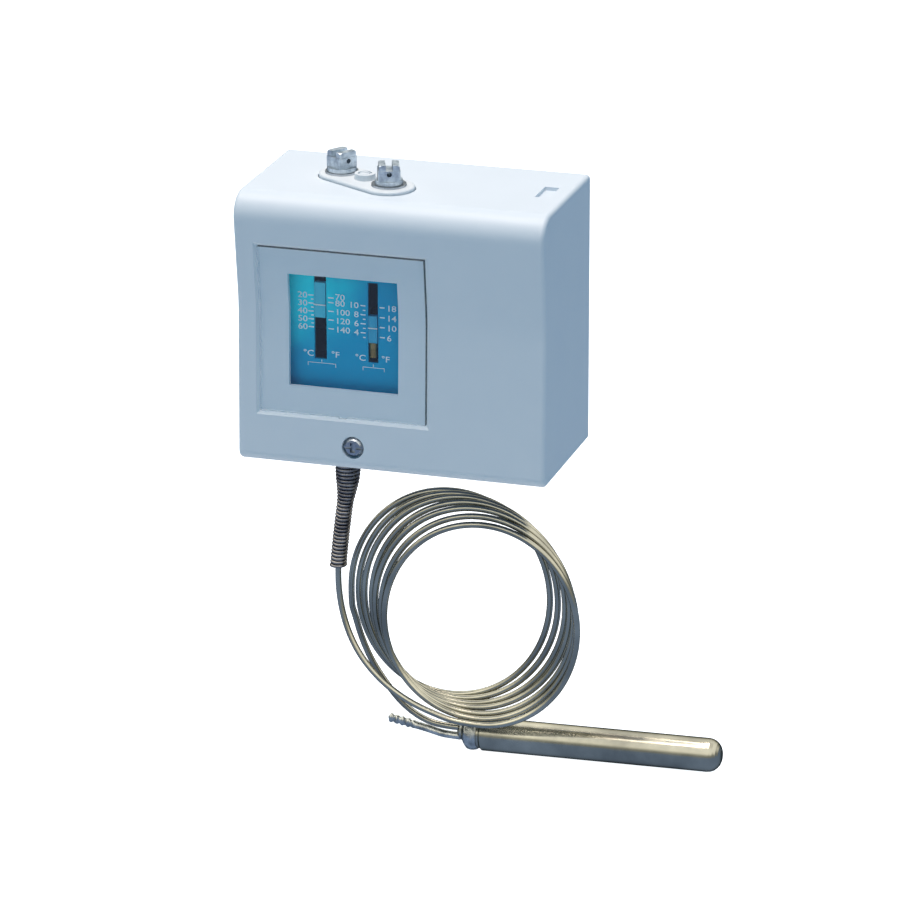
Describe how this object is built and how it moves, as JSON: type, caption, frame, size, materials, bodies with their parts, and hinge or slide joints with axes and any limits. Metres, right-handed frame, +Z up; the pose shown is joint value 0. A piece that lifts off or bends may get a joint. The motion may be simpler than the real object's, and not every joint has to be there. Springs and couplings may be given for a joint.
{
  "type": "capillary thermostat",
  "caption": "Wall-mounted thermostat with a windowed scale, setting spindles on top and a coiled metal capillary that ends in a cylindrical bulb.",
  "frame": {"origin": "centre of the wall screw pattern on the back face", "axes": "+X to the right seen from the front, +Y into the wall, +Z up"},
  "size_m": [0.1646, 0.0569, 0.2185],
  "materials": {
    "housing_plastic": "fine satin moulding, light blue-grey",
    "clear_plastic": "clear, polished",
    "white_plastic": "smooth white moulding",
    "black_plastic": "moulded",
    "cyan_plastic": "smooth",
    "blue_plastic": "smooth",
    "scale_enamel": "printed blue scale",
    "zinc_plated_steel": "zinc plated sheet",
    "nickel_plated_steel": "satin nickel plating",
    "spring_steel": "dark oiled wire",
    "tinned_copper": "tinned, slightly uneven",
    "brass": "turned",
    "bronze": "thin rolled sheet",
    "rubber": "smooth black"
  },
  "bodies": {
    "case": {"cover": "housing_plastic", "window_lens": "clear_plastic", "cover_screw": "nickel_plated_steel", "chassis": "zinc_plated_steel", "spindle_pad": "white_plastic", "pad_screw": "nickel_plated_steel", "range_bushing": "nickel_plated_steel", "diff_bushing": "nickel_plated_steel", "scale_plate": "scale_enamel", "lever_bracket": "zinc_plated_steel", "pivot_pin": "nickel_plated_steel", "range_spring": "spring_steel", "diff_spring": "spring_steel", "bellows_cup": "zinc_plated_steel", "bellows_cap": "zinc_plated_steel", "bellows": "bronze", "ferrule": "brass", "guard_spring": "spring_steel", "capillary_lead": "tinned_copper", "capillary_coil": "tinned_copper", "capillary_tail": "tinned_copper", "bulb_neck": "tinned_copper", "bulb": "tinned_copper", "filling_stub": "tinned_copper", "switch_body": "black_plastic", "contact_pin": "nickel_plated_steel", "fixed_contact": "bronze", "terminal_block": "black_plastic", "earth_screw": "brass", "cable_grommet": "rubber", "scale_pillar_left": "zinc_plated_steel", "scale_pillar_right": "zinc_plated_steel", "scale_screw_left": "nickel_plated_steel", "scale_screw_right": "nickel_plated_steel", "terminal_clamp_1": "nickel_plated_steel", "terminal_screw_1": "nickel_plated_steel", "terminal_clamp_2": "nickel_plated_steel", "terminal_screw_2": "nickel_plated_steel", "terminal_clamp_3": "nickel_plated_steel", "terminal_screw_3": "nickel_plated_steel"},
    "range_spindle": {"range_spindle": "nickel_plated_steel", "range_clip": "spring_steel"},
    "diff_spindle": {"diff_spindle": "nickel_plated_steel", "diff_clip": "spring_steel"},
    "range_carriage": {"range_carriage": "brass", "range_pointer": "cyan_plastic"},
    "diff_carriage": {"diff_carriage": "brass", "diff_pointer": "blue_plastic", "pointer_screw": "brass"},
    "main_lever": {"main_lever": "zinc_plated_steel", "range_spring_seat": "zinc_plated_steel", "diff_spring_anchor": "zinc_plated_steel"},
    "pusher": {"pusher": "brass"},
    "switch_plunger": {"switch_plunger": "white_plastic"},
    "contact_arm": {"contact_arm": "bronze"}
  },
  "joints": [
    {"name": "range_turn", "type": "hinge", "parent": "case", "child": "range_spindle", "pos_m": [-0.0263, -0.025, 0.05], "axis": [0, 0, 1], "range_deg": [-3605, 905]},
    {"name": "range_travel", "type": "slide", "parent": "case", "child": "range_carriage", "axis": [0, 0, 1], "range_m": [-0.01, 0.0025], "deforming": ["range_spring"]},
    {"name": "diff_turn", "type": "hinge", "parent": "case", "child": "diff_spindle", "pos_m": [-0.006, -0.0355, 0.05], "axis": [0, 0, 1], "range_deg": [-652, 3245]},
    {"name": "diff_travel", "type": "slide", "parent": "case", "child": "diff_carriage", "axis": [0, 0, 1], "range_m": [-0.0018, 0.009], "deforming": ["diff_spring"]},
    {"name": "lever_tilt", "type": "hinge", "parent": "case", "child": "main_lever", "pos_m": [-0.046, -0.0275, -0.0232], "axis": [0, -1, 0], "range_deg": [-1, 3.2], "stiffness_Nm_per_rad": 2.3},
    {"name": "pusher_travel", "type": "slide", "parent": "case", "child": "pusher", "axis": [0, 0, 1], "range_m": [-0.0004, 0.00125], "deforming": ["bellows"]},
    {"name": "plunger_travel", "type": "slide", "parent": "case", "child": "switch_plunger", "axis": [0, 0, 1], "range_m": [-0.0012, 0.0038]},
    {"name": "arm_tilt", "type": "hinge", "parent": "case", "child": "contact_arm", "pos_m": [0.0426, -0.0275, -0.0027], "axis": [0, 1, 0], "range_deg": [-3, 9.5]}
  ],
  "couplings": [
    {"joint": "range_turn", "follows": "range_travel", "rad_per_m": 6283.2},
    {"joint": "diff_turn", "follows": "diff_travel", "rad_per_m": 6283.2},
    {"joint": "pusher_travel", "follows": "lever_tilt", "m_per_rad": 0.0216},
    {"joint": "plunger_travel", "follows": "lever_tilt", "m_per_rad": 0.066},
    {"joint": "arm_tilt", "follows": "lever_tilt", "ratio": 2.9204}
  ]
}
